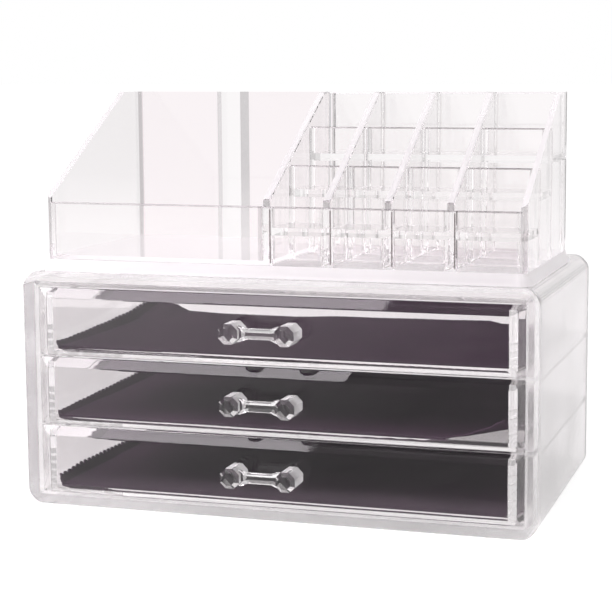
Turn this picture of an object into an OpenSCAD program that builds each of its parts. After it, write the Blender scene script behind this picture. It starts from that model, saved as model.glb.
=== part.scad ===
// Desktop makeup organizer: a three-drawer cabinet with a lift-off tray on top.
// X is the width, the drawers open towards -Y, +Z is up.
// The origin is the middle of the cabinet's underside.

/* [Cabinet] */
// Width of the cabinet
cabinet_width = 240; // [200:1:300]
// Depth of the cabinet
cabinet_depth = 136; // [120:1:180]
// Thickness of the cabinet's moulded walls
cabinet_wall = 3; // [2:0.1:4]
// Size of the flats along the four long edges
edge_flat = 4.7; // [4:0.1:8]
// Width of the front rim at each side
rim_side = 5.7; // [5:0.1:10]
// Height of the front rim above the drawers
rim_top = 6.8; // [5:0.1:12]
// Height of the front rim below the drawers
rim_bottom = 4.5; // [4:0.1:8]
// Depth of the front rim
rim_depth = 8; // [5:0.5:15]
// Thickness of the runners that carry the drawers
runner_thickness = 2.4; // [1.5:0.1:3]
// How far each runner reaches under a drawer's side
runner_grip = 2.6; // [1.5:0.1:6]

/* [Drawers] */
// Height of one drawer front
front_height = 31.6; // [28:0.1:50]
// Thickness of a drawer front
front_thickness = 4; // [3.2:0.1:6]
// Gap round each drawer front
front_gap = 0.6; // [0.4:0.1:1.5]
// Width of the bevel round a drawer front
bevel_width = 4.5; // [2:0.1:8]
// How far the bevel slopes back at its outer edge
bevel_setback = 2.6; // [1:0.1:3]
// How far a drawer's sides stand in from the ends of its front
side_inset = 4; // [3:0.1:8]
// Thickness of a drawer's sides and back
drawer_wall = 3; // [2:0.1:4]
// Thickness of a drawer's floor
drawer_floor = 2; // [1.5:0.1:3]
// How far the top of a drawer's sides lies below the top of its front
side_drop = 3; // [2:0.1:15]
// How far a drawer's underside lies above its front's lower edge
floor_lift = 0.6; // [0.4:0.1:1.5]
// Space left behind a drawer when it is shut
drawer_back_space = 4; // [2:0.5:20]
// Running clearance between a drawer and its runners
run_clearance = 0.3; // [0.2:0.05:0.6]

/* [Handles] */
// Distance between the two knobs of a handle
knob_spacing = 26; // [20:0.5:60]
// Size of a knob across its flats
knob_across = 9; // [7:0.1:14]
// How far a knob stands out from the drawer front
knob_length = 13; // [11:0.1:20]
// Chamfer round the end of a knob
knob_chamfer = 1.7; // [0.5:0.1:2.5]
// Height of the bar between the knobs
bar_height = 4.8; // [3:0.1:6]
// Thickness of the bar, front to back
bar_thickness = 4.4; // [3:0.1:5]
// Finger gap between the bar and the drawer front
finger_gap = 4.6; // [4.4:0.1:5]
// Length of the flare at each end of the bar
flare_length = 3; // [1:0.1:5]
// Height of the bar where it meets a knob
flare_height = 7.4; // [6.2:0.1:8]
// How far the handle's middle sits from the middle of the front
handle_shift = -2.5; // [-10:0.5:10]
// Diameter of the pegs that fix a handle
peg_diameter = 4; // [3:0.1:6]
// Glue gap round each peg
peg_gap = 0.1; // [0.05:0.05:0.2]

/* [Mats] */
// Thickness of a drawer mat
mat_thickness = 1.8; // [1:0.1:3]
// Space between a mat and the drawer's sides
mat_gap = 1; // [0.5:0.1:4]

/* [Tray] */
// How far the tray's side walls stand in from the cabinet's sides, on average
tray_side_inset = 8.3; // [6:0.1:20]
// Depth of the cabinet's top left bare behind the tray
tray_rear_space = 28.5; // [3:0.5:40]
// How far the tray's front stands back from the cabinet's front
tray_front_inset = 5.2; // [3:0.1:15]
// How far the tray sits to the right of the cabinet's middle
tray_shift = 1.5; // [-3:0.1:3]
// Thickness of the tray's walls
tray_wall = 2.6; // [2:0.1:3]
// Radius of the tray's upright corners
tray_corner = 3.5; // [3:0.1:6]
// Height of the tray's flared foot
foot_height = 5.3; // [3:0.1:8]
// How far the foot flares out
foot_flare = 2.4; // [1:0.1:4]
// Gap under the tray's foot
seat_gap = 0.1; // [0.05:0.05:0.2]
// Thickness of the floor of the open bay
bay_floor = 2; // [1.5:0.1:3]
// Height of the front wall above the foot
front_wall_height = 26.2; // [20:0.1:40]
// Height of the side walls above the foot, at the front
side_wall_front = 28; // [22:0.1:45]
// Height of the side and back walls above the foot, at the back
back_wall_height = 75.5; // [60:0.1:90]
// Length of the level stretch of the side walls, at the back
side_wall_level = 20.5; // [5:0.5:40]
// Width of the rib on the bay's back wall
rib_width = 17; // [8:0.5:24]
// Depth of the rib on the bay's back wall
rib_depth = 3; // [2:0.1:5]
// Slope of the rib's sides, as a width
rib_slope = 3.5; // [1:0.5:4]

/* [Cells] */
// Thickness of the dividers between the cells
divider_wall = 3.4; // [2:0.1:4]
// Width from one cell divider to the next
cell_pitch = 27.8; // [24:0.1:28]
// Width of the last cell, by the right wall
last_cell_width = 29.1; // [24:0.1:35]
// Depth of the narrow slot behind the cells
slot_depth = 7.4; // [5:0.1:15]
// How much higher each row's front wall stands
row_rise = 16.6; // [10:0.1:18]
// Height of the first row's floor above the foot
first_floor = 16.8; // [10:0.1:20]
// How much higher each row's floor lies
floor_rise = 15; // [10:0.1:16]
// Thickness of the cell floors
cell_floor = 3.4; // [1.5:0.1:4]

/* [Hidden] */
$fn = 48;
DRAWERS = 3;
COLUMNS = 4;
ROWS = 3;
CUT = 1; // how far a cutting shape runs past the solid that it cuts
OCTAGON_PROFILES = 4;
OCTAGON_STEP = 45;
RIGHT_ANGLE = 90;
SIDES = [-1, 1];

// cabinet
opening_height = DRAWERS * front_height + (DRAWERS + 1) * front_gap;
opening_width = cabinet_width - 2 * rim_side;
cabinet_height = rim_bottom + opening_height + rim_top;
cabinet_front = -cabinet_depth / 2;
cabinet_rear = cabinet_depth / 2;
half_width = cabinet_width / 2;
rim_rear = cabinet_front + rim_depth;
panel_depth = cabinet_depth - rim_depth - cabinet_wall;
inner_flat = edge_flat + cabinet_wall * tan(OCTAGON_STEP / 2);
wall_inside = half_width - cabinet_wall;

// drawers
front_width = opening_width - 2 * front_gap;
box_width = front_width - 2 * side_inset;
box_front = cabinet_front + front_thickness;
box_rear = cabinet_rear - cabinet_wall - drawer_back_space;
box_depth = box_rear - box_front;
drawer_pitch = front_height + front_gap;
runner_reach = wall_inside - box_width / 2 + runner_grip;
inner_width = box_width - 2 * drawer_wall;
drawer_side_height = front_height - floor_lift - side_drop;
knob_x = [for (side = SIDES) handle_shift + side * knob_spacing / 2];
bar_length = knob_spacing - knob_across;

// tray
tray_width = cabinet_width - 2 * tray_side_inset;
tray_depth = cabinet_depth - tray_front_inset - tray_rear_space;
tray_bottom = cabinet_height + seat_gap;
walls_bottom = tray_bottom + foot_height;
tray_front = cabinet_front + tray_front_inset;
tray_rear = tray_front + tray_depth;
tray_left = tray_shift - tray_width / 2;
tray_right = tray_shift + tray_width / 2;
inside_left = tray_left + tray_wall;
inside_right = tray_right - tray_wall;
inside_front = tray_front + tray_wall;
inside_rear = tray_rear - tray_wall;
tray_top = walls_bottom + back_wall_height;
block_left = inside_right - last_cell_width - divider_wall - (COLUMNS - 1) * cell_pitch;
row_pitch = (tray_depth - 2 * tray_wall - slot_depth) / ROWS;
slot_front = inside_rear - slot_depth;

// Height of a drawer front's lower edge; drawer 0 is the lowest.
function front_bottom(drawer) = rim_bottom + front_gap + drawer * drawer_pitch;
function box_bottom(drawer) = front_bottom(drawer) + floor_lift;
// Left face of a cell divider; divider 0 is the bay's right wall.
function divider_left(column) = block_left + column * cell_pitch;
function cell_left(column) = divider_left(column) + divider_wall;
function cell_right(column) =
  column == COLUMNS - 1 ? inside_right : divider_left(column + 1);
// Front face of a row wall; row 0 is the tray's front wall.
function row_front(row) = tray_front + row * row_pitch;
function row_top(row) =
  row == ROWS ? tray_top : walls_bottom + front_wall_height + row * row_rise;
function floor_top(row) = walls_bottom + first_floor + row * floor_rise;

// A box from its lowest corner to its highest one.
module block(low, high) {
  translate(low) cube(high - low);
}

// An outline in X and Z, drawn out along Y.
module along_y(y_front, y_rear) {
  translate([0, y_rear, 0]) rotate([RIGHT_ANGLE, 0, 0])
    linear_extrude(y_rear - y_front) children();
}

// An outline in Y and Z, drawn out along X.
module along_x(x_left, x_right) {
  translate([x_left, 0, 0]) rotate([RIGHT_ANGLE, 0, RIGHT_ANGLE])
    linear_extrude(x_right - x_left) children();
}

// ---- cabinet ----

// The cabinet's outline seen from the front, with its four flats.
module cabinet_outline() {
  polygon([
    [-half_width + edge_flat, 0], [half_width - edge_flat, 0],
    [half_width, edge_flat], [half_width, cabinet_height - edge_flat],
    [half_width - edge_flat, cabinet_height], [-half_width + edge_flat, cabinet_height],
    [-half_width, cabinet_height - edge_flat], [-half_width, edge_flat]
  ]);
}

// A level panel between the two sides, as for the underside.
module level_panel() {
  along_y(rim_rear, cabinet_rear - cabinet_wall) polygon([
    [-half_width + edge_flat, 0], [half_width - edge_flat, 0],
    [half_width - inner_flat, cabinet_wall], [-half_width + inner_flat, cabinet_wall]
  ]);
}

module cabinet_bottom() {
  color("whitesmoke") level_panel();
}

module cabinet_top() {
  color("whitesmoke")
    translate([0, 0, cabinet_height]) mirror([0, 0, 1]) level_panel();
}

// An upright side with the sloping strips along its upper and lower edges.
module cabinet_side(side) {
  color("whitesmoke") along_y(rim_rear, cabinet_rear - cabinet_wall) polygon([
    [side * (half_width - edge_flat), 0], [side * half_width, edge_flat],
    [side * half_width, cabinet_height - edge_flat],
    [side * (half_width - edge_flat), cabinet_height],
    [side * (half_width - inner_flat), cabinet_height - cabinet_wall],
    [side * wall_inside, cabinet_height - inner_flat], [side * wall_inside, inner_flat],
    [side * (half_width - inner_flat), cabinet_wall]
  ]);
}

module cabinet_back() {
  color("whitesmoke") along_y(cabinet_rear - cabinet_wall, cabinet_rear) cabinet_outline();
}

// Four bars round the drawers.
module cabinet_front_rim() {
  opening_top = rim_bottom + opening_height;
  color("whitesmoke") {
    along_y(cabinet_front, rim_rear) intersection() {
      cabinet_outline();
      translate([-half_width, 0]) square([cabinet_width, rim_bottom]);
    }
    along_y(cabinet_front, rim_rear) intersection() {
      cabinet_outline();
      translate([-half_width, opening_top]) square([cabinet_width, rim_top]);
    }
    for (side = SIDES) along_y(cabinet_front, rim_rear) intersection() {
      cabinet_outline();
      translate([side * (half_width - rim_side / 2) - rim_side / 2, rim_bottom])
        square([rim_side, opening_height]);
    }
  }
}

// A pair of ledges under each drawer; the lowest pair stands on the cabinet's floor.
module drawer_runners() {
  color("gainsboro")
    for (drawer = [0:DRAWERS - 1], side = SIDES) {
      top = box_bottom(drawer) - run_clearance;
      bottom = drawer == 0 ? cabinet_wall : top - runner_thickness;
      outer = drawer == 0 ? half_width - inner_flat : wall_inside;
      middle = side * (outer + wall_inside - runner_reach) / 2;
      width = outer - wall_inside + runner_reach;
      block([middle - width / 2, rim_rear, bottom],
            [middle + width / 2, cabinet_rear - cabinet_wall, top]);
    }
}

// ---- drawers ----

// One direction of a drawer front's bevelled section.
module bevelled_section(length) {
  polygon([
    [0, bevel_setback], [bevel_width, 0], [length - bevel_width, 0],
    [length, bevel_setback], [length, front_thickness], [0, front_thickness]
  ]);
}

module drawer_front(drawer) {
  color("white")
    translate([-front_width / 2, cabinet_front, front_bottom(drawer)])
      difference() {
        intersection() {
          linear_extrude(front_height) bevelled_section(front_width);
          along_x(0, front_width)
            rotate(RIGHT_ANGLE) mirror([0, 1]) bevelled_section(front_height);
        }
        for (x = knob_x)
          translate([front_width / 2 + x, -CUT, front_height / 2])
            rotate([-RIGHT_ANGLE, 0, 0])
              cylinder(d = peg_diameter + 2 * peg_gap, h = front_thickness + 2 * CUT);
      }
}

// Floor, two sides and a back; the front closes it.
module drawer_box(drawer) {
  bottom = box_bottom(drawer);
  floor_z = bottom + drawer_floor;
  top = bottom + drawer_side_height;
  half_box = box_width / 2;
  half_inside = inner_width / 2;
  color("white") {
    block([-half_box, box_front, bottom], [half_box, box_rear, floor_z]);
    block([-half_box, box_front, floor_z], [-half_inside, box_rear, top]);
    block([half_inside, box_front, floor_z], [half_box, box_rear, top]);
    block([-half_inside, box_rear - drawer_wall, floor_z], [half_inside, box_rear, top]);
  }
}

// An eight-sided knob with a chamfered end, standing along +Z.
module knob() {
  half = knob_across / 2;
  intersection_for (turn = [0:OCTAGON_PROFILES - 1])
    rotate([0, 0, turn * OCTAGON_STEP]) along_y(-knob_across, knob_across) polygon([
      [-half, 0], [half, 0], [half, knob_length - knob_chamfer],
      [half - knob_chamfer, knob_length], [knob_chamfer - half, knob_length],
      [-half, knob_length - knob_chamfer]
    ]);
}

// The bar's outline seen from the front, wider where it meets the knobs.
module bar_outline() {
  half_bar = bar_height / 2;
  half_flare = flare_height / 2;
  reach = bar_length / 2;
  waist = reach - flare_length;
  polygon([
    [-reach, -half_flare], [-waist, -half_bar], [waist, -half_bar], [reach, -half_flare],
    [reach, half_flare], [waist, half_bar], [-waist, half_bar], [-reach, half_flare]
  ]);
}

module drawer_handle(drawer) {
  color("white")
    translate([0, cabinet_front, front_bottom(drawer) + front_height / 2]) {
      for (x = knob_x) translate([x, 0, 0]) {
        rotate([RIGHT_ANGLE, 0, 0]) knob();
        rotate([-RIGHT_ANGLE, 0, 0]) cylinder(d = peg_diameter, h = front_thickness);
      }
      translate([handle_shift, 0, 0])
        along_y(-finger_gap - bar_thickness, -finger_gap) bar_outline();
    }
}

module drawer_mat(drawer) {
  bottom = box_bottom(drawer) + drawer_floor;
  half_mat = inner_width / 2 - mat_gap;
  color("dimgray")
    block([-half_mat, box_front + mat_gap, bottom],
          [half_mat, box_rear - drawer_wall - mat_gap, bottom + mat_thickness]);
}

// ---- lift-off tray ----

// The tray's outline from above, with round corners.
module tray_outline() {
  straight_x = tray_width - 2 * tray_corner;
  straight_y = tray_depth - 2 * tray_corner;
  translate([tray_left, tray_front]) {
    translate([tray_corner, 0]) square([straight_x, tray_depth]);
    translate([0, tray_corner]) square([tray_width, straight_y]);
    for (x = [0, straight_x], y = [0, straight_y])
      translate([tray_corner + x, tray_corner + y]) circle(tray_corner);
  }
}

// Cuts what it is given to the tray's rounded outline.
module within_tray() {
  intersection() {
    children();
    translate([0, 0, walls_bottom]) linear_extrude(back_wall_height) tray_outline();
  }
}

// Sloping section of the foot; middle and half size of the walls above it.
module foot_section(middle, half) {
  foot = half + foot_flare;
  polygon([
    [middle - foot, tray_bottom], [middle + foot, tray_bottom],
    [middle + half, walls_bottom], [middle - half, walls_bottom]
  ]);
}

// A flared solid with the foot's four sloping sides.
module foot_block() {
  margin = foot_flare + CUT;
  intersection() {
    along_y(tray_front - margin, tray_rear + margin) foot_section(tray_shift, tray_width / 2);
    along_x(tray_left - margin, tray_right + margin)
      foot_section((tray_front + tray_rear) / 2, tray_depth / 2);
  }
}

// A frame under the walls, open in the middle.
module tray_foot() {
  color("white") difference() {
    foot_block();
    block([inside_left, inside_front, tray_bottom - CUT],
          [inside_right, inside_rear, walls_bottom + CUT]);
  }
}

module tray_bay_floor() {
  color("white")
    block([inside_left, inside_front, walls_bottom],
          [block_left, inside_rear, walls_bottom + bay_floor]);
}

module tray_back_wall() {
  color("white") within_tray()
    block([inside_left, inside_rear, walls_bottom], [inside_right, tray_rear, tray_top]);
}

module tray_front_wall() {
  color("white") within_tray()
    block([inside_left, tray_front, walls_bottom], [inside_right, inside_front, row_top(0)]);
}

// A wall's outline seen from the side: low at the front, a slope, then level to the back.
module sloping_outline(front, rear) {
  level_front = tray_rear - side_wall_level;
  run = level_front - tray_front;
  rise = back_wall_height - side_wall_front;
  front_z = walls_bottom + side_wall_front + rise * (front - tray_front) / run;
  polygon(concat(
    [[rear, walls_bottom], [front, walls_bottom], [front, front_z]],
    rear > level_front
      ? [[level_front, tray_top], [rear, tray_top]]
      : [[rear, walls_bottom + side_wall_front + rise * (rear - tray_front) / run]]
  ));
}

module tray_side_wall(left, right) {
  color("white") within_tray()
    along_x(left, right) sloping_outline(tray_front, tray_rear);
}

// A rib with sloping sides, from the bay's floor to the rim.
module tray_back_rib() {
  middle = (inside_left + block_left) / 2;
  half = rib_width / 2;
  bottom = walls_bottom + bay_floor;
  color("white")
    translate([0, 0, bottom]) linear_extrude(tray_top - bottom) polygon([
      [middle - half, inside_rear], [middle - half + rib_slope, inside_rear - rib_depth],
      [middle + half - rib_slope, inside_rear - rib_depth], [middle + half, inside_rear]
    ]);
}

// The first divider runs to the back wall; the others end at the last row wall.
module cell_dividers() {
  color("white") for (column = [0:COLUMNS - 1])
    along_x(divider_left(column), cell_left(column))
      sloping_outline(inside_front, column == 0 ? inside_rear : row_front(ROWS));
}

// Row walls between the dividers, down to the foot, and one wall behind the last row.
module cell_row_walls() {
  color("white") {
    for (row = [1:ROWS - 1], column = [0:COLUMNS - 1])
      block([cell_left(column), row_front(row), walls_bottom],
            [cell_right(column), row_front(row) + tray_wall, row_top(row)]);
    block([cell_left(0), row_front(ROWS), walls_bottom],
          [inside_right, slot_front, row_top(ROWS)]);
  }
}

// A floor in each cell, and one in the narrow slot behind the cells.
module cell_floors() {
  color("white") {
    for (row = [0:ROWS - 1], column = [0:COLUMNS - 1])
      block([cell_left(column), row_front(row) + tray_wall, floor_top(row) - cell_floor],
            [cell_right(column), row_front(row + 1), floor_top(row)]);
    block([cell_left(0), slot_front, floor_top(ROWS - 1) - cell_floor],
          [inside_right, inside_rear, floor_top(ROWS - 1)]);
  }
}

cabinet_top();
cabinet_bottom();
cabinet_side(-1);  // cabinet_left_side
cabinet_side(1);  // cabinet_right_side
cabinet_back();
cabinet_front_rim();
drawer_runners();
drawer_front(0);  // lower_drawer_front
drawer_box(0);  // lower_drawer_box
drawer_handle(0);  // lower_drawer_handle
drawer_mat(0);  // lower_drawer_mat
drawer_front(1);  // middle_drawer_front
drawer_box(1);  // middle_drawer_box
drawer_handle(1);  // middle_drawer_handle
drawer_mat(1);  // middle_drawer_mat
drawer_front(2);  // upper_drawer_front
drawer_box(2);  // upper_drawer_box
drawer_handle(2);  // upper_drawer_handle
drawer_mat(2);  // upper_drawer_mat
tray_foot();
tray_bay_floor();
tray_back_wall();
tray_side_wall(tray_left, inside_left);  // tray_left_wall
tray_side_wall(inside_right, tray_right);  // tray_right_wall
tray_front_wall();
tray_back_rib();
cell_dividers();
cell_row_walls();
cell_floors();
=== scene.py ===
import math

import bmesh
import bpy
from mathutils import Matrix, Vector


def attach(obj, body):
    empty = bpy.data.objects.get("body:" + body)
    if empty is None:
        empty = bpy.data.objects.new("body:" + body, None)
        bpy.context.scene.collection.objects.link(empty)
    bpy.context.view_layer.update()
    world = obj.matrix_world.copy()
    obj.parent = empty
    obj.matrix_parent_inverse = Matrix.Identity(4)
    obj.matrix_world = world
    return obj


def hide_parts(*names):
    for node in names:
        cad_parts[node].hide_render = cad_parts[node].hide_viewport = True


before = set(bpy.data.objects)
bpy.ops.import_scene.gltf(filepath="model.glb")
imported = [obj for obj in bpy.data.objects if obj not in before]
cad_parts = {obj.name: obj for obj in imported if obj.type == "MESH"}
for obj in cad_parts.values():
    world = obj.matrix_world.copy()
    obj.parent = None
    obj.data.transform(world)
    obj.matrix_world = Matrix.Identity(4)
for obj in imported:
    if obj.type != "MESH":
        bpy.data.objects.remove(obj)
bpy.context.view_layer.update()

MM = 0.001
SIDES = 8  # of the knobs, the handles' bars and the cabinet's outline
SIDE_ANGLE = 360 / SIDES

# ---- sizes, in millimetres, the same as the solid model's ----

HALF_WIDTH = 120.0
CABINET_HEIGHT = 108.5
FRONT = -68.0
REAR = 68.0
CABINET_WALL = 3.0
EDGE_FLAT = 4.7  # of the long edges
INNER_FLAT = EDGE_FLAT + CABINET_WALL * math.tan(math.radians(SIDE_ANGLE / 2))
RIM_SIDE = 5.7
RIM_BOTTOM = 4.5
RIM_TOP = 6.8
RIM_REAR = FRONT + 8.0
LEDGE_THICKNESS = 2.4
LEDGE_INNER = 107.1
LEDGE_GAP = 0.3

DRAWERS = ("lower", "middle", "upper")
FRONT_HEIGHT = 31.6
FRONT_GAP = 0.6
FRONT_HALF = 113.7
FRONT_THICKNESS = 4.0
BEVEL_WIDTH = 4.5
BEVEL_SETBACK = 2.6
BOX_HALF = 109.7
BOX_WALL = 3.0
BOX_FLOOR = 2.0
BOX_FRONT = FRONT + FRONT_THICKNESS
BOX_REAR = 61.0
FLOOR_LIFT = 0.6
SIDE_DROP = 3.0

HANDLE_SHIFT = -2.5
KNOB_SPACING = 26.0
KNOB_X = (HANDLE_SHIFT - KNOB_SPACING / 2, HANDLE_SHIFT + KNOB_SPACING / 2)
KNOB_ACROSS = 9.0
KNOB_LENGTH = 13.0
KNOB_CHAMFER = 1.7
BAR_HEIGHT = 4.8
BAR_THICKNESS = 4.4
FINGER_GAP = 4.6
FLARE_LENGTH = 3.0
FLARE_HEIGHT = 7.4

TRAY_LEFT = -110.2
TRAY_RIGHT = 113.2
TRAY_FRONT = -62.8
TRAY_REAR = 39.5
TRAY_WALL = 2.6
TRAY_CORNER = 3.5
FOOT_BOTTOM = CABINET_HEIGHT + 0.1
FOOT_FLARE = 2.4
WALLS_BOTTOM = 113.9
BAY_FLOOR_TOP = WALLS_BOTTOM + 2.0
FRONT_WALL_TOP = WALLS_BOTTOM + 26.2
SIDE_FRONT_TOP = WALLS_BOTTOM + 28.0
TRAY_TOP = WALLS_BOTTOM + 75.5
LEVEL_FRONT = TRAY_REAR - 20.5
INSIDE_LEFT = TRAY_LEFT + TRAY_WALL
INSIDE_RIGHT = TRAY_RIGHT - TRAY_WALL
INSIDE_FRONT = TRAY_FRONT + TRAY_WALL
INSIDE_REAR = TRAY_REAR - TRAY_WALL
DIVIDER_WALL = 3.4
DIVIDERS = (-5.3, 22.5, 50.3, 78.1)  # left faces
ROWS = 3
ROW_PITCH = 29.9
ROW_RISE = 16.6
FIRST_FLOOR = WALLS_BOTTOM + 16.8
FLOOR_RISE = 15.0
CELL_FLOOR = 3.4
RIB_WIDTH = 17.0
RIB_DEPTH = 3.0
RIB_SLOPE = 3.5
RIB_MIDDLE = (INSIDE_LEFT + DIVIDERS[0]) / 2

# ---- finer forms than the solid model's, in millimetres ----

CORNER_RADIUS = 6.0  # of the cabinet's long edges
INNER_RADIUS = 3.0
RIM_EASE = 2.4  # slope at the front of the opening's top
CABINET_ROUNDING = 0.8
DRAWER_ROUNDING = 0.3
HANDLE_ROUNDING = 0.25
TRAY_ROUNDING = 0.7  # of the walls' edges
BAR_FRONT_CHAMFER = 0.5
BAR_REAR_CHAMFERS = (2.1, 1.2)  # at the top and at the bottom
FILLET = 2.2  # inner corners of the tray and its cells
FILLET_STEPS = 4
SEAM_OFFSET = 0.3  # grooves down the tray's front, beside the dividers
SEAM_WIDTH = 0.6
SEAM_DEPTH = 1.2
SEAM_BOTTOM = WALLS_BOTTOM + 1.2
SEAM_TOP = FRONT_WALL_TOP - 1.2

OVERLAP = 0.8  # how far joined solids run into each other
CUT = 1.0  # how far a cutting solid runs past what it cuts
BAR_BITE = 1.0  # how far the handle's bar runs into each knob
ROW_START = DIVIDERS[0] + 1.3  # inside the first divider
KNOB_STANDOFF = 0.03  # keeps the knobs off the drawer's face
CORNER_STEPS = 6
ROUNDING_STEPS = 2
MERGED = 0.002  # points closer than this become one
FLAT_ANGLE = math.radians(1)
SHARP_ANGLE = math.radians(25)

# ---- solids ----


def mesh_object(name, points, faces):
    mesh = bpy.data.meshes.new(name)
    mesh.from_pydata([Vector(p) * MM for p in points], [], faces)
    form = bmesh.new()
    form.from_mesh(mesh)
    bmesh.ops.recalc_face_normals(form, faces=form.faces)
    form.to_mesh(mesh)
    form.free()
    mesh.update()
    piece = bpy.data.objects.new(name, mesh)
    bpy.context.scene.collection.objects.link(piece)
    return piece


def loft(name, *rings):
    """A closed solid through outlines of as many points."""
    count = len(rings[0])
    last = count * (len(rings) - 1)
    faces = [tuple(range(count)), tuple(range(last, last + count))]
    for start in range(0, last, count):
        for i in range(count):
            j = (i + 1) % count
            faces.append((start + i, start + j, start + count + j, start + count + i))
    return mesh_object(name, [point for ring in rings for point in ring], faces)


def block(name, low, high):
    (x0, y0, z0), (x1, y1, z1) = low, high
    ring = ((x0, y0), (x1, y0), (x1, y1), (x0, y1))
    return loft(name, [(x, y, z0) for x, y in ring], [(x, y, z1) for x, y in ring])


def along_x(name, outline, start, end):
    """An outline in Y and Z, drawn out along X."""
    return loft(name, [(start, y, z) for y, z in outline], [(end, y, z) for y, z in outline])


def along_y(name, outline, start, end):
    """An outline in X and Z, drawn out along Y."""
    return loft(name, [(x, start, z) for x, z in outline], [(x, end, z) for x, z in outline])


def softened(outline, radius, steps=4):
    """An outline of X and Z with its corners rounded."""
    points = []
    count = len(outline)
    for k in range(count):
        before, corner, after = (Vector(outline[(k + i) % count]) for i in (-1, 0, 1))
        back, on = (before - corner).normalized(), (after - corner).normalized()
        half = back.angle(on) / 2
        reach = radius / math.tan(half)
        centre = corner + (back + on).normalized() * (radius / math.sin(half))
        start, end = corner + back * reach - centre, corner + on * reach - centre
        for i in range(steps + 1):
            spoke = start.lerp(end, i / steps).normalized() * radius
            points.append(tuple(centre + spoke))
    return points


def round_edges(mesh, radius, steps=ROUNDING_STEPS):
    """Cleans a mesh up and rounds its sharp edges."""
    form = bmesh.new()
    form.from_mesh(mesh)
    bmesh.ops.remove_doubles(form, verts=form.verts, dist=MERGED * MM)
    bmesh.ops.dissolve_limit(form, angle_limit=FLAT_ANGLE, verts=form.verts, edges=form.edges)
    if radius:
        sharp = [edge for edge in form.edges
                 if len(edge.link_faces) == 2 and edge.calc_face_angle() > SHARP_ANGLE]
        bmesh.ops.bevel(form, geom=sharp, offset=radius * MM, segments=steps, profile=0.5,
                        affect="EDGES", clamp_overlap=True)
    form.to_mesh(mesh)
    form.free()


def join_and_cut(name, base, added=(), cut=(), rounding=0.0, steps=ROUNDING_STEPS):
    """One closed moulding: base with some solids joined to it and others cut from it."""
    for operation, solids in (("UNION", added), ("DIFFERENCE", cut)):
        for solid in solids:
            step = base.modifiers.new("join", "BOOLEAN")
            step.operation = operation
            step.solver = "EXACT"
            step.object = solid
    graph = bpy.context.evaluated_depsgraph_get()
    mesh = bpy.data.meshes.new_from_object(base.evaluated_get(graph))
    mesh.name = name
    for solid in (base, *added, *cut):
        bpy.data.objects.remove(solid)
    round_edges(mesh, rounding, steps)
    piece = bpy.data.objects.new(name, mesh)
    bpy.context.scene.collection.objects.link(piece)
    return piece


def front_bottom(level):
    return RIM_BOTTOM + FRONT_GAP + level * (FRONT_HEIGHT + FRONT_GAP)


def eight_sides(half_width, low, high, flat):
    return (
        (-half_width + flat, low), (half_width - flat, low),
        (half_width, low + flat), (half_width, high - flat),
        (half_width - flat, high), (-half_width + flat, high),
        (-half_width, high - flat), (-half_width, low + flat),
    )


# ---- cabinet ----


def make_ledges():
    """The ledges that carry the drawers, one on each side of each level."""
    ledges = []
    for level in range(len(DRAWERS)):
        top = front_bottom(level) + FLOOR_LIFT - LEDGE_GAP
        bottom = CABINET_WALL - OVERLAP if level == 0 else top - LEDGE_THICKNESS
        outer = HALF_WIDTH - CABINET_WALL + OVERLAP if level else HALF_WIDTH - INNER_FLAT
        for side in (-1, 1):
            low_x, high_x = sorted((side * LEDGE_INNER, side * outer))
            ledges.append(block("ledge", (low_x, RIM_REAR - OVERLAP, bottom),
                                (high_x, REAR - CABINET_WALL + OVERLAP, top)))
    return ledges


def make_cabinet():
    outline = softened(eight_sides(HALF_WIDTH, 0, CABINET_HEIGHT, EDGE_FLAT), CORNER_RADIUS)
    outside = along_y("shell", outline, FRONT, REAR)
    hollow = along_y(
        "hollow",
        softened(eight_sides(HALF_WIDTH - CABINET_WALL, CABINET_WALL, CABINET_HEIGHT - CABINET_WALL,
                             INNER_FLAT - CABINET_WALL), INNER_RADIUS),
        RIM_REAR, REAR - CABINET_WALL)
    opening_half = HALF_WIDTH - RIM_SIDE
    opening_top = CABINET_HEIGHT - RIM_TOP
    opening = block("opening", (-opening_half, FRONT - CUT, RIM_BOTTOM),
                    (opening_half, RIM_REAR + CUT, opening_top))
    ease = along_x("ease", [(FRONT - CUT, opening_top - CUT),
                            (FRONT - CUT, opening_top + CUT + RIM_EASE),
                            (FRONT, opening_top + RIM_EASE), (FRONT + RIM_EASE, opening_top),
                            (FRONT + RIM_EASE, opening_top - CUT)],
                   -opening_half, opening_half)
    body = join_and_cut("cabinet_body", outside, cut=(hollow, opening, ease))
    return join_and_cut("cabinet_moulding", body, added=make_ledges(), rounding=CABINET_ROUNDING,
                        steps=3)


# ---- drawers ----


def make_drawer(name, level):
    low = front_bottom(level)
    high = low + FRONT_HEIGHT
    sections = (
        (FRONT_HALF - BEVEL_WIDTH, low + BEVEL_WIDTH, high - BEVEL_WIDTH, FRONT),
        (FRONT_HALF, low, high, FRONT + BEVEL_SETBACK),
        (FRONT_HALF, low, high, BOX_FRONT),
    )
    plate = loft("plate", *(
        [(-half, y, bottom), (half, y, bottom), (half, y, top), (-half, y, top)]
        for half, bottom, top, y in sections))
    bottom = low + FLOOR_LIFT
    top = high - SIDE_DROP
    tub = block("tub", (-BOX_HALF, BOX_FRONT - OVERLAP, bottom), (BOX_HALF, BOX_REAR, top))
    inside = block("inside", (-BOX_HALF + BOX_WALL, BOX_FRONT, bottom + BOX_FLOOR),
                   (BOX_HALF - BOX_WALL, BOX_REAR - BOX_WALL, top + CUT))
    return join_and_cut(name, plate, added=(tub,), cut=(inside,), rounding=DRAWER_ROUNDING)


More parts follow.
